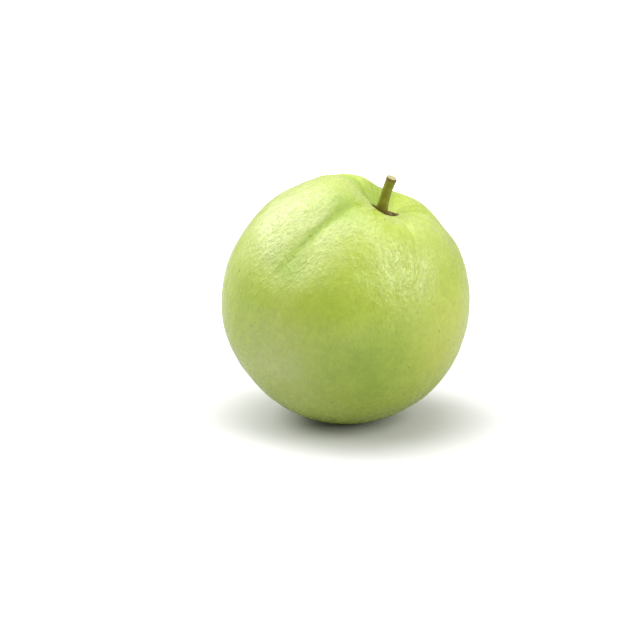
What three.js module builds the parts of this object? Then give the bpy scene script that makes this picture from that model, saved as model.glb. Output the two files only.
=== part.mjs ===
// A whole fresh guava with its cut stalk and the dried remains of its flower.
// Millimetres, +Z up.  The fruit rests on a small flat spot at z = 0 whose middle is the origin.
// -Y is the front; the stalk leans to the right (+X) and a little forwards.
//
// The fruit is shaped about its own stem line first: "polar" is the angle down from the stalk
// and "heading" the angle around it, 0 at the front and growing to the right.
import * as THREE from 'three';
import { mergeVertices } from 'three/addons/utils/BufferGeometryUtils.js';

const DEG = Math.PI / 180;
const TURN = 2 * Math.PI;
const UP = new THREE.Vector3(0, 0, 1);

// overall size and how the fruit lies
const BODY_RADIUS = 47.5; // half the girth's width
const LEAN = 22.7 * DEG; // stem line away from upright
const LEAN_HEADING = -28.3 * DEG; // direction of the lean, from +X towards +Y
const REST_DEPTH = 0.7; // how much of the lowest point the resting spot takes off
const GAP = 0.3; // clearance between pieces that touch

// the hollow around the stalk, its shoulder and the small corky pit inside it
const SHOULDER = { height: 1.1, polar: 31, width: 14 };
const HOLLOW = { depth: 6.9, width: 15, steepness: 3 };
const PIT = { depth: 1.4, floor: 6.4, rim: 8.8, heading: 75, polar: 0.5 };

// the shallow basin that holds the flower's remains
const BASIN = { depth: 2.2, width: 9 };

// long furrows running down from the stalk (degrees, depth in mm)
const FURROWS = [
  { heading: -45, depth: 1.3, from: 10, to: 72, fade: 14, spread: 1 },
  { heading: 30, depth: 0.7, from: 12, to: 48, fade: 14, spread: 1 },
  { heading: 119, depth: 1.3, from: 6, to: 38, fade: 10, spread: 0.9 },
  { heading: -177, depth: 2.5, from: 2, to: 42, fade: 12, spread: 2 },
  { heading: -127, depth: 2, from: 3, to: 52, fade: 14, spread: 1 },
];
const FURROW_WIDTH_AT_STALK = 2;
const FURROW_WIDTH_GROWTH = 6.5; // added by the time the furrow reaches the girth
const FURROW_START = 0.7; // length of the deepening at its upper end, as a share of its fade

// low swellings (+) and flats (-) that make the outline uneven
const SWELLINGS = [
  { heading: -85, polar: 20, height: 1.2, width: 14 },
  { heading: -148, polar: 36, height: 0.35, width: 13 },
  { heading: 152, polar: 19, height: -3, width: 11 },
  { heading: 112, polar: 30, height: -2, width: 13 },
  { heading: -102, polar: 78, height: -0.6, width: 16 },
  { heading: 18, polar: 15, height: -0.7, width: 9 },
  { heading: -60, polar: 145, height: -0.8, width: 24 },
];

// a faint all-over waviness: three crossing waves, each with its own direction and start
const WAVE_HEIGHT = 0.45;
const WAVES = [
  { along: [3.1, 4.3, 1.9], start: 0.6 },
  { along: [-4.7, 2.9, 3.7], start: 2.1 },
  { along: [5.3, -3.1, -4.1], start: 4 },
];

// how finely the fruit is drawn; rings crowd towards both ends, where the shape turns sharply
const FRUIT_AROUND = 64;
const FRUIT_RINGS = 40;
const RING_CROWDING = 0.35;
const MERGE_WITHIN = 1e-4; // points closer than this are one
const HEIGHT_PASSES = 4; // steps taken to find the skin beside the stem line

// the stalk: a short woody rod, swollen at both ends and cut straight across
const STALK_LENGTH = 14.4;
const STALK_RADIUS = 1.9;
const STALK_FOOT_SWELL = 0.3;
const STALK_TOP_SWELL = 0.15;
const STALK_SWELL_REACH = 3.2;
const STALK_OFFSET = [-1.4, -0.5]; // where the cut end stands beside the foot
const STALK_BOW = 0.35; // sideways bow at mid length
const STALK_AROUND = 20;
const STALK_RINGS = 12;

// the dried flower remains: five shrivelled lobes around the stub of the style
const LOBES = 5;
const LOBE_FOOT_RADIUS = 1.9;
const LOBE_REACH = 3.4; // how far a lobe spreads outwards
const LOBE_RISE = 0.8; // how far its tip stands off the skin
const LOBE_FOOT_WIDTH = 1.9;
const LOBE_TIP_WIDTH = 0.6;
const LOBE_BULGE = 2.2; // extra width half way along
const LOBE_THICKNESS = 0.55;
const LOBE_CUP = 0.4; // how much the lobe's edges curl up
const LOBE_UNEVEN = 0.12; // how much lobes differ in length
const LOBE_LENGTH_WAVE = { step: 2.4, start: 1 }; // which lobes are long and which short
const LOBE_TURN = -10 * DEG; // turns the ring so that no lobe points at the ground
const LOBE_TWIST = 0.06; // how far lobes stray from even spacing, in radians
const LOBE_TWIST_STEP = 3;
const LOBE_ACROSS = 4; // patches across and along each lobe
const LOBE_ALONG = 6;
const STYLE_RADIUS = 0.55;
const STYLE_LENGTH = 2.6;
const STYLE_BEND = -0.5;
const STYLE_TAPER = 0.35; // how much thinner its tip is
const STYLE_AROUND = 12;
const STYLE_RINGS = 5;

const SKIN = { colour: 0xb4c877, roughness: 0.35 };
const BARK = { colour: 0x7e7e20, roughness: 0.7 };
const DRIED = { colour: 0x5a4326, roughness: 0.85 };

const smooth = (from, to, value) => THREE.MathUtils.smoothstep(value, from, to);
const bell = (distance, width) => Math.exp(-((distance / width) ** 2));

function aroundDifference(a, b) {
  return THREE.MathUtils.euclideanModulo(a - b + Math.PI, TURN) - Math.PI;
}

// unit direction in the fruit's own frame
function direction(polar, heading) {
  return new THREE.Vector3(
    Math.sin(polar) * Math.sin(heading),
    -Math.sin(polar) * Math.cos(heading),
    Math.cos(polar),
  );
}

// distance from the fruit's middle to its skin
function skinRadius(polar, heading) {
  const degrees = polar / DEG;
  const sine = Math.sin(polar);
  const outward = direction(polar, heading);
  let radius = BODY_RADIUS;
  radius += SHOULDER.height * bell(degrees - SHOULDER.polar, SHOULDER.width);
  radius -= HOLLOW.depth * Math.exp(-((degrees / HOLLOW.width) ** HOLLOW.steepness));
  const fromPit = outward.angleTo(direction(PIT.polar * DEG, PIT.heading * DEG)) / DEG;
  radius -= PIT.depth * (1 - smooth(PIT.floor, PIT.rim, fromPit));
  radius -= BASIN.depth * bell(180 - degrees, BASIN.width);
  for (const f of FURROWS) {
    const across = aroundDifference(heading, f.heading * DEG) * sine * BODY_RADIUS;
    const width = f.spread * (FURROW_WIDTH_AT_STALK + FURROW_WIDTH_GROWTH * sine);
    const start = smooth(f.from, f.from + FURROW_START * f.fade, degrees);
    const end = 1 - smooth(f.to - f.fade, f.to + f.fade, degrees);
    radius -= f.depth * start * end * bell(across, width);
  }
  for (const s of SWELLINGS) {
    const apart = outward.angleTo(direction(s.polar * DEG, s.heading * DEG)) / DEG;
    radius += s.height * bell(apart, s.width);
  }
  for (const w of WAVES) {
    const phase = outward.dot(new THREE.Vector3(...w.along)) + w.start;
    radius += (WAVE_HEIGHT / WAVES.length) * Math.sin(phase);
  }
  return radius;
}

// height of the skin along the stem line at a point (x, y) beside it, at the stalk's end (1)
// or the blossom end (-1)
function skinHeight(end, x, y) {
  const beside = Math.hypot(x, y);
  const heading = Math.atan2(x, -y);
  let radius = BODY_RADIUS;
  let tilt = 0;
  for (let pass = 0; pass < HEIGHT_PASSES; pass += 1) {
    tilt = Math.asin(beside / radius);
    radius = skinRadius(end > 0 ? tilt : Math.PI - tilt, heading);
  }
  return radius * Math.cos(tilt);
}

// one closed skin without seams, from a geometry whose vertices are moved by "place"
function reshape(geometry, place) {
  const point = new THREE.Vector3();
  const position = geometry.attributes.position;
  for (let i = 0; i < position.count; i += 1) {
    point.fromBufferAttribute(position, i);
    place(point);
    position.setXYZ(i, point.x, point.y, point.z);
  }
  geometry.deleteAttribute('normal');
  geometry.deleteAttribute('uv');
  const closed = mergeVertices(geometry, MERGE_WITHIN);
  closed.computeVertexNormals();
  return closed;
}

function fruitGeometry() {
  const ball = new THREE.SphereGeometry(1, FRUIT_AROUND, FRUIT_RINGS);
  ball.rotateX(Math.PI / 2);
  return reshape(ball, (p) => {
    const ring = Math.acos(THREE.MathUtils.clamp(p.z, -1, 1));
    const polar = ring - RING_CROWDING * Math.sin(2 * ring);
    const heading = Math.atan2(p.x, -p.y);
    p.copy(direction(polar, heading)).multiplyScalar(skinRadius(polar, heading));
  });
}

function stalkGeometry() {
  const footRadius = STALK_RADIUS + STALK_FOOT_SWELL;
  let foot = skinHeight(1, 0, 0);
  for (let i = 0; i < STALK_AROUND; i += 1) {
    const around = (i * TURN) / STALK_AROUND;
    const rim = skinHeight(1, footRadius * Math.cos(around), footRadius * Math.sin(around));
    foot = Math.max(foot, rim);
  }
  foot += GAP;
  const rod = new THREE.CylinderGeometry(1, 1, 1, STALK_AROUND, STALK_RINGS);
  rod.rotateX(Math.PI / 2);
  return reshape(rod, (p) => {
    const up = p.z + 0.5;
    const along = up * STALK_LENGTH;
    const swell = STALK_FOOT_SWELL * bell(along, STALK_SWELL_REACH)
      + STALK_TOP_SWELL * bell(STALK_LENGTH - along, STALK_SWELL_REACH);
    const radius = STALK_RADIUS + swell;
    const bow = STALK_BOW * Math.sin(Math.PI * up);
    p.set(
      p.x * radius + STALK_OFFSET[0] * up - bow,
      p.y * radius + STALK_OFFSET[1] * up,
      foot + along,
    );
  });
}

// a shrivelled flower lobe, spreading over the skin at the blossom end
function lobeGeometry(index) {
  const wave = LOBE_LENGTH_WAVE;
  const length = 1 + LOBE_UNEVEN * Math.sin(wave.step * index + wave.start);
  const twist = LOBE_TWIST * Math.sin(LOBE_TWIST_STEP * index);
  const heading = LOBE_TURN + (index * TURN) / LOBES + twist;
  return reshape(new THREE.BoxGeometry(1, 1, 1, LOBE_ACROSS, LOBE_ALONG), (p) => {
    const out = p.y + 0.5;
    const side = 2 * p.x;
    const under = LOBE_THICKNESS * (0.5 - p.z);
    const width = THREE.MathUtils.lerp(LOBE_FOOT_WIDTH, LOBE_TIP_WIDTH, out)
      + LOBE_BULGE * Math.sin(Math.PI * out);
    const rise = (LOBE_RISE * out + LOBE_CUP * side * side) * length * out;
    p.set((side * width) / 2, LOBE_FOOT_RADIUS + LOBE_REACH * length * out, 0);
    p.applyAxisAngle(UP, heading);
    p.z = -skinHeight(-1, p.x, p.y) - GAP - rise - under;
  });
}

function styleGeometry() {
  const floor = skinHeight(-1, 0, 0) + GAP;
  const stub = new THREE.CylinderGeometry(1, 1, 1, STYLE_AROUND, STYLE_RINGS);
  stub.rotateX(Math.PI / 2);
  return reshape(stub, (p) => {
    const out = 0.5 - p.z;
    const radius = STYLE_RADIUS * (1 - STYLE_TAPER * out);
    p.set(p.x * radius + STYLE_BEND * out * out, p.y * radius, -floor - STYLE_LENGTH * out);
  });
}

// the move that brings the lowest point just below the ground and the resting spot to the origin
function restingMove(geometry) {
  geometry.computeBoundingBox();
  const ground = geometry.boundingBox.min.z + REST_DEPTH;
  const spot = new THREE.Box3();
  const point = new THREE.Vector3();
  const position = geometry.attributes.position;
  for (let i = 0; i < position.count; i += 1) {
    point.fromBufferAttribute(position, i);
    if (point.z < ground) spot.expandByPoint(point);
  }
  const middle = spot.getCenter(new THREE.Vector3());
  return new THREE.Matrix4().makeTranslation(-middle.x, -middle.y, -ground);
}

function flattenBelowGround(geometry) {
  const position = geometry.attributes.position;
  for (let i = 0; i < position.count; i += 1) {
    position.setZ(i, Math.max(0, position.getZ(i)));
  }
  geometry.computeVertexNormals();
}

function material({ colour, roughness }) {
  return new THREE.MeshStandardMaterial({ color: colour, roughness, metalness: 0 });
}

const leanAxis = new THREE.Vector3(-Math.sin(LEAN_HEADING), Math.cos(LEAN_HEADING), 0);
const lay = new THREE.Matrix4().makeRotationAxis(leanAxis, LEAN);
const skin = fruitGeometry();
lay.premultiply(restingMove(skin.clone().applyMatrix4(lay)));

const guava = new THREE.Group();
guava.name = 'guava';

function addPiece(name, geometry, surface) {
  const piece = new THREE.Mesh(geometry.applyMatrix4(lay), surface);
  piece.name = name;
  guava.add(piece);
}

addPiece('fruit', skin, material(SKIN));
flattenBelowGround(skin);
addPiece('stalk', stalkGeometry(), material(BARK));
for (let i = 0; i < LOBES; i += 1) {
  addPiece(`calyx_lobe_${i + 1}`, lobeGeometry(i), material(DRIED));
}
addPiece('style', styleGeometry(), material(DRIED));

export default guava;
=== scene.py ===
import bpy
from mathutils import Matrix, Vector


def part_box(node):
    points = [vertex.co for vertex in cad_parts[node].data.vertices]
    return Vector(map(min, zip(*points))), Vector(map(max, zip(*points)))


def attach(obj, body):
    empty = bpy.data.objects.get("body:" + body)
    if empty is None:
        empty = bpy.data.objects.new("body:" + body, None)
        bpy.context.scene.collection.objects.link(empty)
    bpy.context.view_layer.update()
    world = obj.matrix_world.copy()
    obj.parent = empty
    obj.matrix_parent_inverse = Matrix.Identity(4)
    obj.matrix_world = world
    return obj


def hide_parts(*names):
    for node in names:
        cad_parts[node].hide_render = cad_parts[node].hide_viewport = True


bl_info = {
    "name": "Whole guava",
    "version": (1, 0, 0),
    "blender": (4, 5, 0),
    "location": "3D View > Sidebar > Guava",
    "description": "Builds a fresh guava, its stalk and its dried flower around the packed frame",
    "category": "Object",
}

import math

import bmesh
import bpy
import numpy as np
from bpy.props import FloatProperty, FloatVectorProperty, IntProperty, PointerProperty
from mathutils import Euler, Matrix, Vector, noise

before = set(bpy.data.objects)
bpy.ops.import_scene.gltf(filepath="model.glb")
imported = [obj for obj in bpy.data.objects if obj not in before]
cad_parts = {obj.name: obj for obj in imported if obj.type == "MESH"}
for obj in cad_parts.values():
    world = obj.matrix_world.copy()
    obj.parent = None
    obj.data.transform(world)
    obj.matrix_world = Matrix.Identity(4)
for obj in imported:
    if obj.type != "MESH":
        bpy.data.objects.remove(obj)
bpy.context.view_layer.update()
FRUIT_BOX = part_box("fruit")

MM = 0.001
CAP_INSET = 0.85
BODY = "root"

# the fruit's shape in its own frame: millimetres and degrees, "polar" down from the stalk and
# "heading" around it, 0 at the front (-Y) and growing to the right (+X)
BODY_RADIUS = 47.5
LEAN = 22.7
LEAN_HEADING = -28.3
SHOULDER = {"height": 1.1, "polar": 31, "width": 14}
HOLLOW = {"depth": 6.9, "width": 15, "steepness": 3}
PIT = {"depth": 1.4, "floor": 6.4, "rim": 8.8, "heading": 75, "polar": 0.5}
BASIN = {"depth": 2.2, "width": 9}
FURROWS = [
    {"heading": -45, "depth": 1.3, "groove": 0.9, "from": 10, "to": 72, "fade": 14, "spread": 1.0},
    {"heading": 30, "depth": 0.7, "groove": 0.5, "from": 12, "to": 48, "fade": 14, "spread": 1.0},
    {"heading": 119, "depth": 1.3, "groove": 0.5, "from": 6, "to": 38, "fade": 10, "spread": 0.9},
    {"heading": -177, "depth": 2.5, "groove": 0.5, "from": 2, "to": 42, "fade": 12, "spread": 2.0},
    {"heading": -127, "depth": 2.0, "groove": 1.1, "from": 3, "to": 52, "fade": 14, "spread": 1.0},
]
FURROW_WIDTH_AT_STALK = 2.0
FURROW_WIDTH_GROWTH = 6.5
FURROW_START = 0.7
GROOVE_WIDTH = 0.24
FURROW_GREENEST = 2.0
SWELLINGS = [
    {"heading": -85, "polar": 20, "height": 1.2, "width": 14},
    {"heading": -148, "polar": 36, "height": 0.35, "width": 13},
    {"heading": 152, "polar": 19, "height": -3.0, "width": 11},
    {"heading": 112, "polar": 30, "height": -2.0, "width": 13},
    {"heading": -102, "polar": 78, "height": -0.6, "width": 16},
    {"heading": 18, "polar": 15, "height": -0.7, "width": 9},
    {"heading": -60, "polar": 145, "height": -0.8, "width": 24},
]
WAVE_HEIGHT = 0.45
WAVES = [
    {"along": (3.1, 4.3, 1.9), "start": 0.6},
    {"along": (-4.7, 2.9, 3.7), "start": 2.1},
    {"along": (5.3, -3.1, -4.1), "start": 4.0},
]

# where the skin is most wrinkled, where painted sheen and painted bounce light pale it, where it is
# greener (partly painted shade) and where it is riper (partly painted warm reflected light)
RUGGED = [
    {"heading": -52, "polar": 50, "width": 25, "strength": 1.0},
    {"heading": 20, "polar": 46, "width": 18, "strength": 1.0},
    {"heading": 22, "polar": 66, "width": 12, "strength": 0.6},
]
# thin ridges (+) and creases (-) running down from the pit
LINES = [
    {"heading": -111, "from": 11, "to": 40, "height": 0.5, "width": 0.75},
    {"heading": -140, "from": 9, "to": 30, "height": -0.55, "width": 0.6},
    {"heading": -160, "from": 9, "to": 26, "height": -0.5, "width": 0.55},
    {"heading": 172, "from": 9, "to": 26, "height": -0.5, "width": 0.55},
    {"heading": 134, "from": 10, "to": 34, "height": 0.55, "width": 0.8},
    {"heading": 122, "from": 9, "to": 28, "height": -0.5, "width": 0.55},
    {"heading": 88, "from": 10, "to": 24, "height": -0.4, "width": 0.55},
]
# painted sheen and painted bounce light: whitish patches at the highlights on the upper left and
# right, and on the lower left where light from the floor falls
PAINTED_LIGHT_PATCHES = [
    {"heading": -62, "polar": 48, "width": 26, "strength": 1.2},
    {"heading": 30, "polar": 44, "width": 14, "strength": 0.5},
    {"heading": 50, "polar": 28, "width": 16, "strength": 0.4},
    {"heading": -28, "polar": 110, "width": 22, "strength": 1.0},
]
# greener patches: by the front-left furrow the skin's own deeper green, on the lower front and sides
# painted shade
GREEN = [
    {"heading": 14, "polar": 92, "width": 25, "strength": 1.1},
    {"heading": -12, "polar": 70, "width": 18, "strength": 0.5},
    {"heading": -46, "polar": 26, "width": 10, "strength": 1.0},
    {"heading": -54, "polar": 92, "width": 20, "strength": 0.5},
    {"heading": -43, "polar": 64, "width": 10, "strength": 0.9},
    {"heading": 36, "polar": 84, "width": 16, "strength": 0.3},
]
# a yellower side on the right: partly riper skin, partly painted warm reflected light
RIPE_AND_REFLECTED = [
    {"heading": 58, "polar": 78, "width": 20, "strength": 0.9},
]

# heights of the skin's finer relief, in millimetres
FOLD_HEIGHT = 0.45
RIPPLE_HEIGHT = 0.26
LIP_HEIGHT = 0.3
CORK_GRAIN_HEIGHT = 0.35
FLOWER_RING = {"beside": 2.3, "height": 0.3, "width": 0.8}

# its patterns: size, stretch along the stem line, seed
WIDE_LUMPS = (7.5, 2.6, 3.1)
SMALL_LUMPS = (4.5, 2.0, 8.7)
PEBBLES = (2.0, 2.0, 5.3)
NET_CREASES = (6.0, 2.4, 2.7)
ROUGH_CLOUDS = (22.0, 1.0, 2.2)
CORK_GRAIN = (1.3, 1.0, 4.4)
LINE_WAVER = (9.0, 1.0, 5.5)
# the same, for patterns that run down from the stalk; size 1 is one radian around it
LONG_CREASES = (0.09, 3.0, 6.1)
RIPPLES = (0.1, 3.0, 6.6)
FOLDS = (0.2, 1.0, 0.4)
FOLD_CREASES = (0.22, 1.0, 7.7)
RIM_WOBBLE = (0.5, 1.0, 3.3)
DEGREES_PER_SIZE = 60.0

# how many times the skin's colour, gloss and bump patterns repeat in a metre
BROAD_TONES = 42.0
RAGGED_EDGES = 90.0
FINE_MOTTLE = 420.0
DOT_PLACES = 240.0
DOT_SIZES = 210.0
CORK_FRAY = 900.0
GLOSS_PATCHES = 260.0
CRINKLES = 760.0
SKIN_IOR = 1.5
SKIN_BUMP = 0.0009

# the stalk
STALK_LENGTH = 14.4
STALK_SUNK = 0.9
STALK_OFFSET = (-1.4, -0.5)
STALK_BOW = 0.35
STALK_SWELL_REACH = 3.2
# ridges along the bark: how many around, twist per millimetre, start and height
BARK_RIDGES = [(5, 0.12, 0.0, 0.05), (9, -0.2, 1.0, 0.03)]
BARK_KNOBS = {"height": 0.09, "size": 1.6, "around": 2.2}
CUT_EDGE_WORN = 0.12
CUT_GRAIN = 0.06
CUT_DISH = 0.08
BARK_FIBRES = 1400.0
FIBRE_BUMP = 0.0002

# the dried flower; GAP is how far its pieces and the stalk stand from the skin in the CAD
LOBES = 5
LOBE_TURN = -10
LOBE_TWIST = 0.06
LOBE_FOOT_RADIUS = 1.9
LOBE_REACH = 3.4
LOBE_RISE = 0.8
LOBE_FOOT_WIDTH = 1.9
LOBE_TIP_WIDTH = 0.6
LOBE_BULGE = 2.2
LOBE_CUP = 0.4
LOBE_UNEVEN = 0.12
LOBE_CRUMPLE = 0.12
LOBE_SUNK = 0.25
STYLE_LENGTH = 2.6
STYLE_BEND = -0.5
STYLE_RADIUS = 0.55
STYLE_SUNK = 0.2
STAMEN_RADIUS = 0.085
STAMEN_SUNK = 0.25
STAMEN_TURN = 2.39996
# distance from the style and length of the stamens: the least, and the most that is added
STAMEN_FOOT = (1.05, 0.5)
STAMEN_LENGTH = (0.8, 0.9)
FLOWER_FIBRES = 1600.0
GAP = 0.3

# the stage
FLOOR_REACH = 6.0
FLOOR_BELOW = 0.0001
UP_AND_BEHIND = (0.0, 0.6, 0.8)
SENSOR_WIDTH = 36.0
# soft lamps: name, place from the fruit's middle, width and height in metres, brightness
SOFTBOXES = [
    ("Back left softbox", (-0.62, 0.42, 0.66), 0.75, 0.75, 3.6),
    ("Left softbox", (-0.60, -0.35, 0.72), 0.5, 0.5, 2.8),
    ("Overhead softbox", (0.0, 0.0, 1.0), 0.7, 0.7, 3.0),
    ("Right strip softbox", (0.74, -0.46, 0.52), 0.50, 0.76, 5.1),
]


# ---------------------------------------------------------------- shape of the fruit


def smooth(start, end, value):
    t = np.clip((value - start) / (end - start), 0.0, 1.0)
    return t * t * (3.0 - 2.0 * t)


def bell(distance, width):
    return np.exp(-((distance / width) ** 2))


def unit(polar, heading):
    """Unit direction in the fruit's own frame, from angles in degrees."""
    p, h = math.radians(polar), math.radians(heading)
    return np.array((math.sin(p) * math.sin(h), -math.sin(p) * math.cos(h), math.cos(p)))


def angles(directions):
    """Polar angle in degrees and heading in radians of unit directions."""
    polar = np.degrees(np.arccos(np.clip(directions[:, 2], -1.0, 1.0)))
    heading = np.arctan2(directions[:, 0], -directions[:, 1])
    return polar, heading


def pit_angle(directions):
    """Angle in degrees from the middle of the stalk's pit."""
    return np.degrees(np.arccos(np.clip(directions @ unit(PIT["polar"], PIT["heading"]), -1.0, 1.0)))


def furrow_depth(directions):
    """How far the furrows sink the skin, in millimetres."""
    polar, heading = angles(directions)
    sine = np.sin(np.radians(polar))
    depth = np.zeros(len(directions))
    for f in FURROWS:
        apart = (heading - math.radians(f["heading"]) + math.pi) % math.tau - math.pi
        width = f["spread"] * (FURROW_WIDTH_AT_STALK + FURROW_WIDTH_GROWTH * sine)
        start = smooth(f["from"], f["from"] + FURROW_START * f["fade"], polar)
        end = 1.0 - smooth(f["to"] - f["fade"], f["to"] + f["fade"], polar)
        across = apart * sine * BODY_RADIUS
        groove_end = 1.0 - smooth(f["to"] - 2.0 * f["fade"], f["to"], polar)
        groove = f["groove"] * bell(across, GROOVE_WIDTH * width) * groove_end
        depth += (f["depth"] * bell(across, width) * end + groove) * start
    return depth


def skin_radius(directions):
    """Distance from the fruit's middle to its smooth skin, in millimetres."""
    polar, _ = angles(directions)
    radius = np.full(len(directions), BODY_RADIUS)
    radius += SHOULDER["height"] * bell(polar - SHOULDER["polar"], SHOULDER["width"])
    radius -= HOLLOW["depth"] * np.exp(-((polar / HOLLOW["width"]) ** HOLLOW["steepness"]))
    radius -= PIT["depth"] * (1.0 - smooth(PIT["floor"], PIT["rim"], pit_angle(directions)))
    radius -= BASIN["depth"] * bell(180.0 - polar, BASIN["width"])
    radius -= furrow_depth(directions)
    for s in SWELLINGS:
        centre = unit(s["polar"], s["heading"])
        apart = np.degrees(np.arccos(np.clip(directions @ centre, -1.0, 1.0)))
        radius += s["height"] * bell(apart, s["width"])
    for w in WAVES:
        phase = directions @ np.array(w["along"]) + w["start"]
        radius += WAVE_HEIGHT / len(WAVES) * np.sin(phase)
    return radius


def skin_height(end, x, y):
    """Height of the skin along the stem line beside it, at the stalk (1) or the blossom (-1)."""
    beside = math.hypot(x, y)
    heading = math.degrees(math.atan2(x, -y))
    radius, tilt = BODY_RADIUS, 0.0
    for _ in range(4):
        tilt = math.degrees(math.asin(beside / radius))
        polar = tilt if end > 0 else 180.0 - tilt
        radius = float(skin_radius(unit(polar, heading)[None])[0])
    return radius * math.cos(math.radians(tilt))


def lean_matrix():
    axis = (-math.sin(math.radians(LEAN_HEADING)), math.cos(math.radians(LEAN_HEADING)), 0.0)
    return Matrix.Rotation(math.radians(LEAN), 3, axis)


def fruit_middle(points):
    """Where the fruit's middle stands, so that its leaned points fill the box of its CAD node."""
    low, high = FRUIT_BOX
    x = (low.x + high.x - points[:, 0].max() - points[:, 0].min()) / 2
    y = (low.y + high.y - points[:, 1].max() - points[:, 1].min()) / 2
    return Vector((x, y, high.z - points[:, 2].max()))


LEAN_ROTATION = lean_matrix()
LAY = {"middle": Vector((0.0, 0.0, 0.0))}


def lay_down(points_mm):
    """From the fruit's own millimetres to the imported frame's metres."""
    turned = (np.asarray(points_mm) * MM) @ np.array(LEAN_ROTATION).T
    return turned + np.array(LAY["middle"])


# ---------------------------------------------------------------- mesh helpers


def read_points(mesh):
    points = np.empty(len(mesh.vertices) * 3)
    mesh.vertices.foreach_get("co", points)
    return points.reshape(-1, 3)


def write_points(mesh, points):
    mesh.vertices.foreach_set("co", np.ascontiguousarray(points, dtype=np.float32).ravel())
    mesh.update()


def write_mask(mesh, name, values):
    mask = mesh.attributes.new(name, "FLOAT", "POINT")
    mask.data.foreach_set("value", np.asarray(values, dtype=np.float32))


def mesh_from(bm, name):
    bmesh.ops.recalc_face_normals(bm, faces=bm.faces[:])
    mesh = bpy.data.meshes.new(name)
    bm.to_mesh(mesh)
    bm.free()
    return mesh


def add_piece(mesh, name, material, slot, *nodes):
    mesh.shade_smooth()
    mesh.materials.append(material)
    piece = bpy.data.objects.new(name, mesh)
    bpy.context.scene.collection.objects.link(piece)
    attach(piece, BODY)
    if nodes:
        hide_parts(*nodes)


def noise_at(points, size, stretch=1.0, seed=0.0):
    """Smooth noise from -1 to 1; size is a patch's width, stretch its length over its width."""
    scaled = points / (size, size, size * stretch) + seed
    return np.array([noise.noise(Vector(p)) for p in scaled])


def rod(around, rings, cap_insets=0):
    """A unit rod along Z from 0 to 1 with extra rings, and inset rings on its top face."""
    bm = bmesh.new()
    bmesh.ops.create_cone(
        bm, cap_ends=True, cap_tris=False, segments=around, radius1=1, radius2=1, depth=1,
        matrix=Matrix.Translation((0, 0, 0.5)),
    )
    top = max(bm.faces, key=lambda f: f.calc_center_median().z)
    for _ in range(cap_insets):
        bmesh.ops.inset_region(bm, faces=[top], thickness=CAP_INSET / cap_insets)
    for ring in range(1, rings):
        everything = bm.verts[:] + bm.edges[:] + bm.faces[:]
        bmesh.ops.bisect_plane(
            bm, geom=everything, plane_co=(0, 0, ring / rings), plane_no=(0, 0, 1)
        )
    return bm


# ---------------------------------------------------------------- node helpers


def new_material(name):
    material = bpy.data.materials.new(name)
    material.use_nodes = True
    return material, material.node_tree, material.node_tree.nodes["Principled BSDF"]


def put(tree, kind, sockets=None, **settings):
    """Adds a node; sockets maps an input's name or number to a value or to another socket."""
    node = tree.nodes.new(kind)
    for key, value in settings.items():
        setattr(node, key, value)
    for key, value in (sockets or {}).items():
        if isinstance(value, bpy.types.NodeSocket):
            tree.links.new(value, node.inputs[key])
        else:
            node.inputs[key].default_value = value
    return node


def math_node(tree, operation, a, b=0.0, c=0.0, clamp=False):
    sockets = {0: a, 1: b, 2: c}
    return put(tree, "ShaderNodeMath", sockets, operation=operation, use_clamp=clamp).outputs[0]


def mix_colour(tree, factor, a, b, blend="MIX"):
    node = put(tree, "ShaderNodeMix", data_type="RGBA", blend_type=blend, clamp_factor=True)
    for key, value in ((0, factor), (6, a), (7, b)):
        if isinstance(value, bpy.types.NodeSocket):
            tree.links.new(value, node.inputs[key])
        else:
            node.inputs[key].default_value = value if key == 0 else (*value, 1.0)[:4]
    return node.outputs[2]


def span(tree, value, low, high, to_low=0.0, to_high=1.0):
    """A soft ramp: low gives to_low, high gives to_high."""
    sockets = {0: value, 1: low, 2: high, 3: to_low, 4: to_high}
    return put(tree, "ShaderNodeMapRange", sockets, interpolation_type="SMOOTHSTEP").outputs[0]


def noise_node(tree, vector, scale, detail=2.0, roughness=0.5):
    sockets = {"Vector": vector, "Scale": scale, "Detail": detail, "Roughness": roughness}
    return put(tree, "ShaderNodeTexNoise", sockets).outputs["Fac"]


def mask_node(tree, name):
    return put(tree, "ShaderNodeAttribute", attribute_name=name).outputs["Fac"]


def fruit_coordinates(tree):
    """Object coordinates turned upright about the fruit's middle: Z runs along the stem line."""
    place = put(tree, "ShaderNodeTexCoord").outputs["Object"]
    turn = put(tree, "ShaderNodeMapping", {"Vector": place}, vector_type="TEXTURE")
    turn.inputs["Location"].default_value = LAY["middle"]
    turn.inputs["Rotation"].default_value = LEAN_ROTATION.to_euler("XYZ")
    return turn.outputs["Vector"]


def stretched(tree, vector, along):
    """Coordinates whose patterns are drawn out along the stem line."""
    sockets = {0: vector, 1: (1.0, 1.0, along)}
    return put(tree, "ShaderNodeVectorMath", sockets, operation="MULTIPLY").outputs[0]


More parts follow.
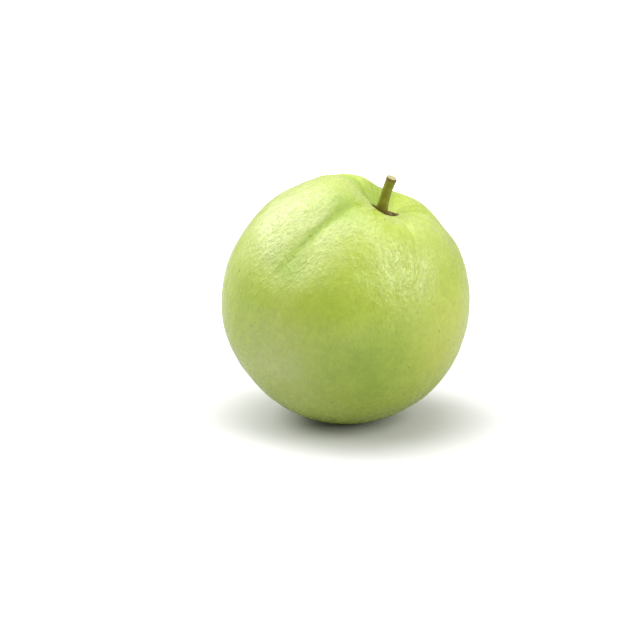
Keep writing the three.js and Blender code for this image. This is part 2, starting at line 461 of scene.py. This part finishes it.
def dry_fibre_group():
    """Fine streaks of woody or shrivelled tissue, shared by the stalk and the dried flower."""
    group = bpy.data.node_groups.get("Dry fibres")
    if group:
        return group
    group = bpy.data.node_groups.new("Dry fibres", "ShaderNodeTree")
    sockets = group.interface
    sockets.new_socket("Vector", in_out="INPUT", socket_type="NodeSocketVector")
    scale = sockets.new_socket("Scale", in_out="INPUT", socket_type="NodeSocketFloat")
    scale.default_value = BARK_FIBRES
    sockets.new_socket("Streaks", in_out="OUTPUT", socket_type="NodeSocketFloat")
    sockets.new_socket("Height", in_out="OUTPUT", socket_type="NodeSocketFloat")
    inside = group.nodes.new("NodeGroupInput")
    out = group.nodes.new("NodeGroupOutput")
    vector, scale = inside.outputs["Vector"], inside.outputs["Scale"]
    long_way = stretched(group, vector, 0.18)
    streaks = noise_node(group, long_way, scale, 4.0, 0.65)
    patches = noise_node(group, vector, math_node(group, "MULTIPLY", scale, 0.35), 2.0)
    blend = math_node(group, "MULTIPLY_ADD", streaks, 0.7, math_node(group, "MULTIPLY", patches, 0.3))
    group.links.new(span(group, blend, 0.35, 0.65), out.inputs["Streaks"])
    group.links.new(streaks, out.inputs["Height"])
    return group


def fibres(tree, vector, scale):
    node = put(tree, "ShaderNodeGroup", node_tree=dry_fibre_group())
    tree.links.new(vector, node.inputs["Vector"])
    node.inputs["Scale"].default_value = scale
    return node.outputs["Streaks"], node.outputs["Height"]


def add_bump(tree, shader, height, distance):
    bump = put(tree, "ShaderNodeBump", {"Height": height, "Strength": 1.0, "Distance": distance})
    tree.links.new(bump.outputs["Normal"], shader.inputs["Normal"])


# ---------------------------------------------------------------- settings


def colour(name, description, default):
    return FloatVectorProperty(
        name=name, description=description, default=default, subtype="COLOR", min=0.0, max=1.0
    )


def length(name, description, default):
    return FloatProperty(name=name, description=description, default=default, unit="LENGTH")


class GuavaFruitSettings(bpy.types.PropertyGroup):
    cuts: IntProperty(
        name="Fineness", description="Cuts along each edge of the starting cube", default=125
    )
    lumps: length("Lumps", "Height of the wide lumps in the skin", 0.00036)
    pebbles: length("Pebbles", "Height of the small pebbles in the skin", 0.00009)
    wrinkles: length("Wrinkles", "Depth of the fine creases between pebbles", 0.00005)
    skin: colour("Skin", "Main green of the skin", (0.385, 0.485, 0.04))
    pale: colour("Pale skin", "Paler patches", (0.43, 0.53, 0.075))
    # also used as painted shade: in the green patches on the lower front and on the darker bottom
    deep_green_and_shade: colour("Furrow green", "Deeper green along the furrows", (0.28, 0.40, 0.025))
    # the whitish colour of the pale patches: painted sheen and painted bounce light
    painted_sheen: colour("Palest skin", "Whitish, waxy areas", (0.48, 0.56, 0.17))
    # the yellower colour of the ripe patch, partly painted warm reflected light
    warm_and_reflected: colour("Ripe patch", "Yellower side", (0.46, 0.50, 0.04))
    # dark brown of the stalk pit: corky floor, and painted shade up the pit's walls
    dots: colour("Dots", "Small dark dots", (0.10, 0.19, 0.02))
    cork_and_shade: colour("Cork", "Corky floor of the stalk pit", (0.06, 0.042, 0.014))
    pale_cork: colour("Pale cork", "Lighter grains of the cork", (0.17, 0.13, 0.04))


class GuavaStalkSettings(bpy.types.PropertyGroup):
    radius: length("Radius", "Radius half way up", 0.0019)
    foot_swell: length("Foot swell", "Extra radius at the foot", 0.0003)
    top_swell: length("Top swell", "Extra radius at the cut", 0.00015)
    bark: colour("Bark", "Olive bark", (0.26, 0.27, 0.02))
    brown: colour("Brown bark", "Browner bark at both ends", (0.19, 0.12, 0.02))
    streak: colour("Bark streaks", "What the darker streaks multiply the bark by", (0.72, 0.66, 0.55))
    cut: colour("Cut face", "Pale wood where it was cut", (0.40, 0.37, 0.17))


class GuavaFlowerSettings(bpy.types.PropertyGroup):
    thickness: length("Lobe thickness", "Thickness of a dried lobe", 0.00055)
    brown: colour("Dried brown", "Main brown", (0.085, 0.045, 0.018))
    tan: colour("Dried tan", "Lighter streaks and edges", (0.24, 0.15, 0.06))
    stamens: IntProperty(name="Stamens", description="Number of dried threads", default=64)


class GuavaStageSettings(bpy.types.PropertyGroup):
    distance: length("Camera distance", "From the fruit's middle to the camera", 0.9)
    elevation: FloatProperty(
        name="Camera height", description="Angle above level", default=math.radians(16),
        subtype="ANGLE",
    )
    view_width: length("View width", "Width seen at the fruit's middle", 0.24416)
    fruit_right: length("Fruit right", "How far right of the view's middle it sits", 0.00973)
    fruit_above: length("Fruit above", "How far above the view's middle it sits", 0.00763)
    floor_bounce: FloatProperty(
        name="Floor bounce", description="How much light the floor throws back up", default=0.5
    )
    floor_tone: FloatProperty(
        name="Floor tone", description="How pale the floor looks in the shadow", default=0.66
    )
    front: FloatProperty(name="Front", description="Surround brightness in front", default=0.34)
    behind: FloatProperty(name="Behind", description="Surround brightness behind", default=0.8)


# ---------------------------------------------------------------- fruit


def patches(directions, areas):
    """Soft round patches, from 0 to 1."""
    mask = np.zeros(len(directions))
    for area in areas:
        cosine = directions @ unit(area["polar"], area["heading"])
        apart = np.degrees(np.arccos(np.clip(cosine, -1.0, 1.0)))
        mask = np.maximum(mask, area["strength"] * bell(apart, area["width"]))
    return mask


def skin_relief(directions, own, s):
    """Relief of the skin in mm, with the masks of its wrinkled areas and of the dark stalk pit, which
    is corky floor with painted shade up its walls.
    """
    polar, heading = angles(directions)
    around = np.column_stack([np.cos(heading), np.sin(heading), polar / DEGREES_PER_SIZE])
    rugged = 0.3 * smooth(-0.1, 0.5, noise_at(own, *ROUGH_CLOUDS))
    rugged = np.maximum(rugged, patches(directions, RUGGED)) * smooth(9.0, 20.0, polar)

    lumps = noise_at(own, *WIDE_LUMPS) + 0.5 * noise_at(own, *SMALL_LUMPS)
    pebbles = noise_at(own, *PEBBLES)
    creases = bell(noise_at(around, *LONG_CREASES), 0.12)
    creases += 0.6 * bell(noise_at(own, *NET_CREASES), 0.06)
    relief = s.lumps * lumps * (0.5 + 0.5 * rugged) + s.pebbles * pebbles * (0.25 + 0.75 * rugged)
    relief = (relief - s.wrinkles * creases * rugged) / MM
    relief += RIPPLE_HEIGHT * noise_at(around, *RIPPLES) * rugged

    folds = 0.8 * noise_at(around, *FOLDS) - bell(noise_at(around, *FOLD_CREASES), 0.1)
    relief += FOLD_HEIGHT * folds * smooth(8.0, 12.0, polar) * (1.0 - smooth(17.0, 32.0, polar))
    waver = 0.05 * noise_at(own, *LINE_WAVER)
    for line in LINES:
        apart = (heading + waver - math.radians(line["heading"]) + math.pi) % math.tau - math.pi
        across = apart * np.sin(np.radians(polar)) * BODY_RADIUS
        reach = smooth(line["from"], line["from"] + 3.0, polar)
        reach *= 1.0 - smooth(line["to"] - 8.0, line["to"], polar)
        relief += line["height"] * reach * bell(across, line["width"])

    # the dark pit reaches to the rim: corky floor, with painted shade on its walls
    past_rim = pit_angle(directions) - 0.7 * noise_at(around, *RIM_WOBBLE) - PIT["rim"]
    cork_and_shade = 1.0 - smooth(-1.2, -0.1, past_rim)
    relief += LIP_HEIGHT * bell(past_rim - 0.6, 0.9)
    relief += CORK_GRAIN_HEIGHT * cork_and_shade * noise_at(own, *CORK_GRAIN)
    beside = np.radians(180.0 - polar) * BODY_RADIUS
    relief += FLOWER_RING["height"] * bell(beside - FLOWER_RING["beside"], FLOWER_RING["width"])
    return relief, rugged, cork_and_shade


def green_tone(tree, s, place, height_up, furrow):
    """Greens of the skin: broad tones, patches (painted sheen, partly painted shade, partly painted
    reflected light), the darker underside (partly painted shade), furrows and small dots.
    """
    broad = noise_node(tree, place, BROAD_TONES)
    tone = mix_colour(tree, span(tree, broad, 0.35, 0.68), s.skin, s.pale)
    ragged = span(tree, noise_node(tree, place, RAGGED_EDGES, 3.0), 0.3, 0.7, 0.55, 1.2)
    # painted light in these tints: the pale patches are painted sheen and painted bounce light, the
    # green ones partly painted shade, the ripe one partly painted warm reflected light
    for name, tint in (("pale", s.painted_sheen), ("green", s.deep_green_and_shade), ("ripe", s.warm_and_reflected)):
        amount = math_node(tree, "MULTIPLY", mask_node(tree, name), ragged, clamp=True)
        tone = mix_colour(tree, amount, tone, tint)
    # deeper green towards the bottom: partly the greener blossom end, partly painted shade
    tone = mix_colour(tree, span(tree, height_up, -0.030, -0.047, 0.0, 0.7), tone, s.deep_green_and_shade)
    tone = mix_colour(tree, span(tree, furrow, 0.42, 1.0, 0.0, 0.85), tone, s.deep_green_and_shade)

    mottle = span(tree, noise_node(tree, place, FINE_MOTTLE, 3.0, 0.6), 0.30, 0.72, 0.94, 1.05)
    grey = put(tree, "ShaderNodeCombineColor", {0: mottle, 1: mottle, 2: mottle}).outputs[0]
    tone = mix_colour(tree, 1.0, tone, grey, "MULTIPLY")

    spots = put(tree, "ShaderNodeTexVoronoi", {"Vector": place, "Scale": DOT_PLACES})
    size = span(tree, noise_node(tree, place, DOT_SIZES, 0.0), 0.38, 0.6, 0.0, 0.11)
    dot = math_node(tree, "SUBTRACT", size, spots.outputs["Distance"])
    return mix_colour(tree, span(tree, dot, 0.0, 0.03, 0.0, 0.85), tone, s.dots)


def fruit_material(s):
    material, tree, shader = new_material("Guava skin")
    place = fruit_coordinates(tree)
    long_way = stretched(tree, place, 0.5)
    height_up = put(tree, "ShaderNodeSeparateXYZ", {0: place}).outputs["Z"]
    furrow = mask_node(tree, "furrow")
    tone = green_tone(tree, s, place, height_up, furrow)

    # dark brown in the stalk pit: cork, and painted shade up its walls
    fray = noise_node(tree, place, CORK_FRAY, 3.0)
    cork_and_shade = math_node(tree, "MULTIPLY_ADD", fray, 0.4, mask_node(tree, "cork_and_shade"))
    cork_and_shade = span(tree, cork_and_shade, 0.55, 0.75)
    cork_and_shade_tone = mix_colour(tree, span(tree, fray, 0.35, 0.7), s.cork_and_shade, s.pale_cork)
    tone = mix_colour(tree, cork_and_shade, tone, cork_and_shade_tone)
    tree.links.new(tone, shader.inputs["Base Color"])

    rough = span(tree, noise_node(tree, long_way, GLOSS_PATCHES, 3.0), 0.3, 0.7, 0.2, 0.34)
    rough = math_node(tree, "MULTIPLY_ADD", cork_and_shade, 0.45, rough, clamp=True)
    rough = math_node(tree, "ADD", rough, span(tree, furrow, 0.15, 0.6, 0.0, 0.25), clamp=True)
    tree.links.new(rough, shader.inputs["Roughness"])
    shader.inputs["IOR"].default_value = SKIN_IOR
    shine = span(tree, height_up, -0.045, -0.012, 0.35, 0.8)
    shine = math_node(tree, "MULTIPLY", shine, span(tree, cork_and_shade, 0.0, 1.0, 1.0, 0.2))
    tree.links.new(shine, shader.inputs["Specular IOR Level"])

    crinkle = noise_node(tree, long_way, CRINKLES, 4.0, 0.6)
    crease = math_node(tree, "ABSOLUTE", math_node(tree, "SUBTRACT", crinkle, 0.5))
    height = math_node(tree, "MULTIPLY_ADD", span(tree, crease, 0.0, 0.16), 0.06, crinkle)
    rough_skin = span(tree, mask_node(tree, "rugged"), 0.0, 1.0, 0.26, 0.8)
    add_bump(tree, shader, math_node(tree, "MULTIPLY", height, rough_skin), SKIN_BUMP)
    return material


class GUAVA_OT_fruit(bpy.types.Operator):
    """Build the fruit: ribs, furrows, stalk pit and pebbled skin in one closed mesh"""

    bl_idname = "guava.fruit"
    bl_label = "Fruit"

    def execute(self, context):
        s = context.scene.guava_fruit
        bm = bmesh.new()
        bmesh.ops.create_cube(bm, size=2.0)
        bmesh.ops.subdivide_edges(bm, edges=bm.edges[:], cuts=s.cuts, use_grid_fill=True)
        mesh = mesh_from(bm, "fruit_skin")

        spread = np.tan(read_points(mesh) * math.pi / 4)
        directions = spread / np.linalg.norm(spread, axis=1, keepdims=True)
        radius = skin_radius(directions)
        own = directions * radius[:, None]
        LAY["middle"] = Vector((0.0, 0.0, 0.0))
        LAY["middle"] = fruit_middle(lay_down(own))

        relief, rugged, cork_and_shade = skin_relief(directions, own, s)
        points = lay_down(directions * (radius + relief)[:, None])
        points[:, 2] = np.maximum(points[:, 2], 0.0)
        write_points(mesh, points)
        write_mask(mesh, "furrow", np.clip(furrow_depth(directions) / FURROW_GREENEST, 0.0, 1.0))
        write_mask(mesh, "cork_and_shade", cork_and_shade)
        write_mask(mesh, "rugged", rugged)
        # masks for the tints: the pale ones hold painted sheen and painted bounce light, the green
        # ones partly painted shade, the ripe one partly painted reflected light
        for name, areas in (("pale", PAINTED_LIGHT_PATCHES), ("green", GREEN), ("ripe", RIPE_AND_REFLECTED)):
            write_mask(mesh, name, patches(directions, areas))
        add_piece(mesh, "fruit_skin", fruit_material(s), "skin", "fruit")
        return {"FINISHED"}


# ---------------------------------------------------------------- stalk


def stalk_material(s):
    material, tree, shader = new_material("Guava stalk")
    place = fruit_coordinates(tree)
    streaks, height = fibres(tree, place, BARK_FIBRES)
    ends = mask_node(tree, "ends")
    tone = mix_colour(tree, span(tree, ends, 0.1, 1.0, 0.0, 0.8), s.bark, s.brown)
    darker = mix_colour(tree, 1.0, tone, s.streak, "MULTIPLY")
    tone = mix_colour(tree, streaks, darker, tone)
    cut = mask_node(tree, "cut")
    tone = mix_colour(tree, span(tree, cut, 0.3, 0.6), tone, s.cut)
    tree.links.new(tone, shader.inputs["Base Color"])
    tree.links.new(span(tree, streaks, 0.0, 1.0, 0.72, 0.5), shader.inputs["Roughness"])
    add_bump(tree, shader, height, FIBRE_BUMP)
    return material


class GUAVA_OT_stalk(bpy.types.Operator):
    """Build the short woody stalk with its ridged bark and pale cut end"""

    bl_idname = "guava.stalk"
    bl_label = "Stalk"

    def execute(self, context):
        s = context.scene.guava_stalk
        foot = skin_height(1, 0.0, 0.0) + GAP - STALK_SUNK
        total = STALK_LENGTH + STALK_SUNK
        mesh = mesh_from(rod(around=48, rings=44, cap_insets=6), "stalk_bark")
        raw = read_points(mesh)
        up = raw[:, 2]
        reach = np.hypot(raw[:, 0], raw[:, 1])
        turn = np.arctan2(raw[:, 1], raw[:, 0])
        along = up * total
        radius = s.radius + s.foot_swell * bell(along - STALK_SUNK, STALK_SWELL_REACH)
        radius += s.top_swell * bell(total - along, STALK_SWELL_REACH)
        radius = radius / MM
        side = radius
        for around, twist, start, height in BARK_RIDGES:
            side = side + height * np.sin(around * turn + twist * along + start)
        place = BARK_KNOBS["around"] * np.column_stack([np.cos(turn), np.sin(turn)])
        side += BARK_KNOBS["height"] * noise_at(np.column_stack([place, along]), BARK_KNOBS["size"])
        side -= CUT_EDGE_WORN * smooth(0.97, 1.0, up) * smooth(0.8, 1.0, reach)
        own = np.column_stack([
            np.cos(turn) * reach * side + STALK_OFFSET[0] * up - STALK_BOW * np.sin(math.pi * up),
            np.sin(turn) * reach * side + STALK_OFFSET[1] * up,
            foot + along,
        ])
        cap = (up > 0.999) & (reach < 0.999)
        own[cap, 2] += CUT_GRAIN * noise_at(own[cap], 0.7) - CUT_DISH * (1 - reach[cap])
        write_points(mesh, lay_down(own))
        ends = np.maximum(bell(along - STALK_SUNK, 2.2), bell(total - along, 1.6))
        write_mask(mesh, "ends", ends)
        write_mask(mesh, "cut", np.where(up > 0.999, 1.0 - smooth(0.82, 1.0, reach), 0.0))
        add_piece(mesh, "stalk_bark", stalk_material(s), "stalk", "stalk")
        return {"FINISHED"}


# ---------------------------------------------------------------- dried flower


def flower_material(s):
    material = bpy.data.materials.get("Dried flower")
    if material:
        return material
    material, tree, shader = new_material("Dried flower")
    place = fruit_coordinates(tree)
    streaks, height = fibres(tree, place, FLOWER_FIBRES)
    tone = mix_colour(tree, streaks, s.brown, s.tan)
    tone = mix_colour(tree, math_node(tree, "MULTIPLY", mask_node(tree, "tip"), 0.7), tone, s.brown)
    tree.links.new(tone, shader.inputs["Base Color"])
    tree.links.new(span(tree, streaks, 0.0, 1.0, 0.9, 0.7), shader.inputs["Roughness"])
    add_bump(tree, shader, height, FIBRE_BUMP)
    return material


def lobe_mesh(index, thickness):
    """One shrivelled lobe, spreading over the skin with a ragged, curled edge."""
    bm = bmesh.new()
    bmesh.ops.create_cube(bm, size=1.0)
    bmesh.ops.subdivide_edges(bm, edges=bm.edges[:], cuts=9, use_grid_fill=True)
    mesh = mesh_from(bm, f"dried_lobe_{index + 1}")
    raw = read_points(mesh)
    out, side, under = raw[:, 1] + 0.5, 2 * raw[:, 0], 0.5 - raw[:, 2]
    reach = 1 + LOBE_UNEVEN * math.sin(2.4 * index + 1)
    turn = math.radians(LOBE_TURN) + index * math.tau / LOBES
    turn += LOBE_TWIST * math.sin(3 * index)
    width = LOBE_FOOT_WIDTH + (LOBE_TIP_WIDTH - LOBE_FOOT_WIDTH) * out
    width += LOBE_BULGE * np.sin(math.pi * np.clip(out, 0, 1))
    ragged = np.column_stack([side * 1.4, out * 4, np.full(len(out), 3.0 * index)])
    width *= 1 + 0.16 * noise_at(ragged, 1.0, 1.0, 0.37) * np.abs(side)
    rise = (LOBE_RISE * out + LOBE_CUP * side**2) * reach * out
    x = side * width / 2
    y = LOBE_FOOT_RADIUS - 0.4 + (LOBE_REACH + 0.4) * reach * out
    y += 0.25 * noise_at(ragged, 1.3, 1.0, 2.9) * out
    turned_x = x * math.cos(turn) - y * math.sin(turn)
    turned_y = x * math.sin(turn) + y * math.cos(turn)
    skin = np.array([skin_height(-1, a, b) for a, b in zip(turned_x, turned_y)])
    crumple = LOBE_CRUMPLE * noise_at(np.column_stack([x, y, 2.0 * under]), 1.1, 1.0, 5.0 + index)
    thick = thickness / MM * (1 - 0.45 * out) * (1 - 0.3 * side**2)
    clear = smooth(0.0, 0.3, out)
    lift = GAP * clear - LOBE_SUNK * (1 - clear)
    write_points(mesh, lay_down(np.column_stack([
        turned_x, turned_y, -skin - lift - rise - crumple * out - thick * under
    ])))
    write_mask(mesh, "tip", smooth(0.5, 1.0, out))
    return mesh


class GUAVA_OT_flower_lobes(bpy.types.Operator):
    """Build the five dried lobes of the flower at the blossom end"""

    bl_idname = "guava.flower_lobes"
    bl_label = "Dried lobes"

    def execute(self, context):
        s = context.scene.guava_flower
        for index in range(LOBES):
            name = f"dried_lobe_{index + 1}"
            mesh = lobe_mesh(index, s.thickness)
            add_piece(mesh, name, flower_material(s), "dried_calyx", f"calyx_lobe_{index + 1}")
        return {"FINISHED"}


class GUAVA_OT_style(bpy.types.Operator):
    """Build the dried style and the ring of dried stamens around it"""

    bl_idname = "guava.style"
    bl_label = "Dried style and stamens"

    def execute(self, context):
        s = context.scene.guava_flower
        floor = skin_height(-1, 0.0, 0.0)
        mesh = mesh_from(rod(around=16, rings=10, cap_insets=2), "dried_style")
        raw = read_points(mesh)
        out = raw[:, 2]
        width = STYLE_RADIUS * (1 - 0.35 * out) + 0.16 * bell(out - 0.93, 0.09)
        width = width * (1 + 0.14 * noise_at(raw * 3.0, 1.0, 1.0, 7.0))
        own = np.column_stack([
            raw[:, 0] * width + STYLE_BEND * out**2,
            -raw[:, 1] * width,
            -floor - (STYLE_LENGTH + GAP) * out + STYLE_SUNK,
        ])
        write_points(mesh, lay_down(own))
        write_mask(mesh, "tip", smooth(0.6, 1.0, out))
        add_piece(mesh, "dried_style", flower_material(s), "dried_calyx", "style")
        self.stamens(s, floor)
        return {"FINISHED"}

    def stamens(self, s, floor):
        """A ring of thin curled threads, each a short bent rod."""
        whole = bmesh.new()
        for index in range(s.stamens):
            turn = index * STAMEN_TURN
            foot = STAMEN_FOOT[0] + STAMEN_FOOT[1] * ((index * 0.618) % 1.0)
            tall = STAMEN_LENGTH[0] + STAMEN_LENGTH[1] * ((index * 0.755) % 1.0)
            curl = 0.55 * math.sin(5.1 * index)
            thread = rod(around=5, rings=4)
            for v in thread.verts:
                up = v.co.z
                thin = STAMEN_RADIUS * (1 - 0.35 * up)
                x = v.co.x * thin + foot + (0.35 + 0.3 * curl) * up * up
                y = -v.co.y * thin + curl * up * up
                v.co = (
                    x * math.cos(turn) - y * math.sin(turn),
                    x * math.sin(turn) + y * math.cos(turn),
                    -floor + STAMEN_SUNK - tall * up,
                )
            part = bpy.data.meshes.new("thread")
            thread.to_mesh(part)
            thread.free()
            whole.from_mesh(part)
            bpy.data.meshes.remove(part)
        mesh = mesh_from(whole, "dried_stamens")
        own = read_points(mesh)
        write_points(mesh, lay_down(own))
        write_mask(mesh, "tip", smooth(0.4, 1.6, -floor - own[:, 2]))
        add_piece(mesh, "dried_stamens", flower_material(s), "dried_calyx")


# ---------------------------------------------------------------- stage


def softbox(name, place, target, width, height, brightness):
    """A flat lamp facing the fruit; brightness is how bright its own face looks."""
    lamp = bpy.data.lights.new(name, "AREA")
    lamp.shape = "RECTANGLE"
    lamp.size = width
    lamp.size_y = height
    lamp.energy = brightness * math.pi * width * height
    light = bpy.data.objects.new(name, lamp)
    light.location = place
    light.rotation_euler = (target - place).to_track_quat("-Z", "Y").to_euler()
    bpy.context.scene.collection.objects.link(light)


def surround(s):
    """A white surround that lights the fruit more from behind and above than from the front."""
    world = bpy.data.worlds.new("Bright surround")
    world.use_nodes = True
    tree = world.node_tree
    background = tree.nodes["Background"]
    background.inputs["Color"].default_value = (1.0, 1.0, 1.0, 1.0)
    where = put(tree, "ShaderNodeTexCoord").outputs["Generated"]
    behind = put(
        tree, "ShaderNodeVectorMath", {0: where, 1: UP_AND_BEHIND}, operation="DOT_PRODUCT"
    ).outputs["Value"]
    glow = span(tree, behind, -0.6, 0.9, s.front, s.behind)
    seen = put(tree, "ShaderNodeLightPath").outputs["Is Camera Ray"]
    strength = put(tree, "ShaderNodeMix", {0: seen, 2: glow, 3: 1.0})
    tree.links.new(strength.outputs[0], background.inputs["Strength"])
    return world


def floor_material(s):
    """Pale paper that throws little light back up at the fruit; to the camera it glows, a painted
    light that brightens it away from the fruit.
    """
    material, tree, shader = new_material("Pale floor")
    seen = put(tree, "ShaderNodeLightPath").outputs["Is Camera Ray"]
    bounce = (s.floor_bounce,) * 3
    paper = (s.floor_tone,) * 3
    tree.links.new(mix_colour(tree, seen, bounce, paper), shader.inputs["Base Color"])
    shader.inputs["Roughness"].default_value = 0.9
    shader.inputs["Specular IOR Level"].default_value = 0.1
    place = put(tree, "ShaderNodeTexCoord").outputs["Object"]
    away = put(tree, "ShaderNodeVectorMath", {0: place}, operation="LENGTH").outputs["Value"]
    # painted light: for the camera the floor glows, more the further it is from the fruit
    near = span(tree, away, 0.03, 0.09, 0.0, 0.4)
    glow = math_node(tree, "ADD", near, span(tree, away, 0.1, 0.5))
    glow = math_node(tree, "MULTIPLY", glow, seen)
    shader.inputs["Emission Color"].default_value = (1.0, 1.0, 1.0, 1.0)
    tree.links.new(glow, shader.inputs["Emission Strength"])
    return material


class GUAVA_OT_stage(bpy.types.Operator):
    """Set up the pale floor, the soft lights and the camera"""

    bl_idname = "guava.stage"
    bl_label = "Stage"

    def execute(self, context):
        s = context.scene.guava_stage
        scene = context.scene
        middle = LAY["middle"]

        bm = bmesh.new()
        bmesh.ops.create_grid(bm, x_segments=2, y_segments=2, size=FLOOR_REACH)
        bmesh.ops.translate(bm, verts=bm.verts[:], vec=(0, 0, -FLOOR_BELOW))
        mesh = mesh_from(bm, "floor")
        mesh.materials.append(floor_material(s))
        floor = bpy.data.objects.new("floor", mesh)
        scene.collection.objects.link(floor)

        scene.world = surround(s)
        scene.view_settings.view_transform = "Standard"
        for name, place, width, height, brightness in SOFTBOXES:
            softbox(name, middle + Vector(place), middle, width, height, brightness)

        right = Vector((1, 0, 0))
        away = Vector((0, math.cos(s.elevation), -math.sin(s.elevation)))
        above = right.cross(away)
        lens = bpy.data.cameras.new("Camera")
        lens.sensor_width = SENSOR_WIDTH
        lens.lens = lens.sensor_width * s.distance / s.view_width
        camera = bpy.data.objects.new("Camera", lens)
        aim = middle - right * s.fruit_right - above * s.fruit_above
        camera.location = aim - away * s.distance
        camera.rotation_euler = Euler((math.pi / 2 - s.elevation, 0.0, 0.0))
        scene.collection.objects.link(camera)
        scene.camera = camera
        return {"FINISHED"}


class GUAVA_PT_panel(bpy.types.Panel):
    """Lists the guava's pieces"""

    bl_idname = "GUAVA_PT_panel"
    bl_label = "Guava"
    bl_space_type = "VIEW_3D"
    bl_region_type = "UI"
    bl_category = "Guava"

    def draw(self, context):
        layout = self.layout
        for operator in OPERATORS:
            layout.operator(operator.bl_idname)
        for name, group in SETTINGS.items():
            box = layout.box()
            box.label(text=group.__name__)
            for key in group.__annotations__:
                box.prop(getattr(context.scene, name), key)


SETTINGS = {
    "guava_fruit": GuavaFruitSettings,
    "guava_stalk": GuavaStalkSettings,
    "guava_flower": GuavaFlowerSettings,
    "guava_stage": GuavaStageSettings,
}
OPERATORS = [
    GUAVA_OT_fruit,
    GUAVA_OT_stalk,
    GUAVA_OT_flower_lobes,
    GUAVA_OT_style,
    GUAVA_OT_stage,
]


def register():
    for group in SETTINGS.values():
        bpy.utils.register_class(group)
    for operator in OPERATORS:
        bpy.utils.register_class(operator)
    bpy.utils.register_class(GUAVA_PT_panel)
    for name, group in SETTINGS.items():
        setattr(bpy.types.Scene, name, PointerProperty(type=group))


def unregister():
    for name in SETTINGS:
        delattr(bpy.types.Scene, name)
    bpy.utils.unregister_class(GUAVA_PT_panel)
    for operator in reversed(OPERATORS):
        bpy.utils.unregister_class(operator)
    for group in SETTINGS.values():
        bpy.utils.unregister_class(group)


def main():
    register()
    bpy.ops.guava.fruit()
    bpy.ops.guava.stalk()
    bpy.ops.guava.flower_lobes()
    bpy.ops.guava.style()
    bpy.ops.guava.stage()


if __name__ == "__main__":
    main()
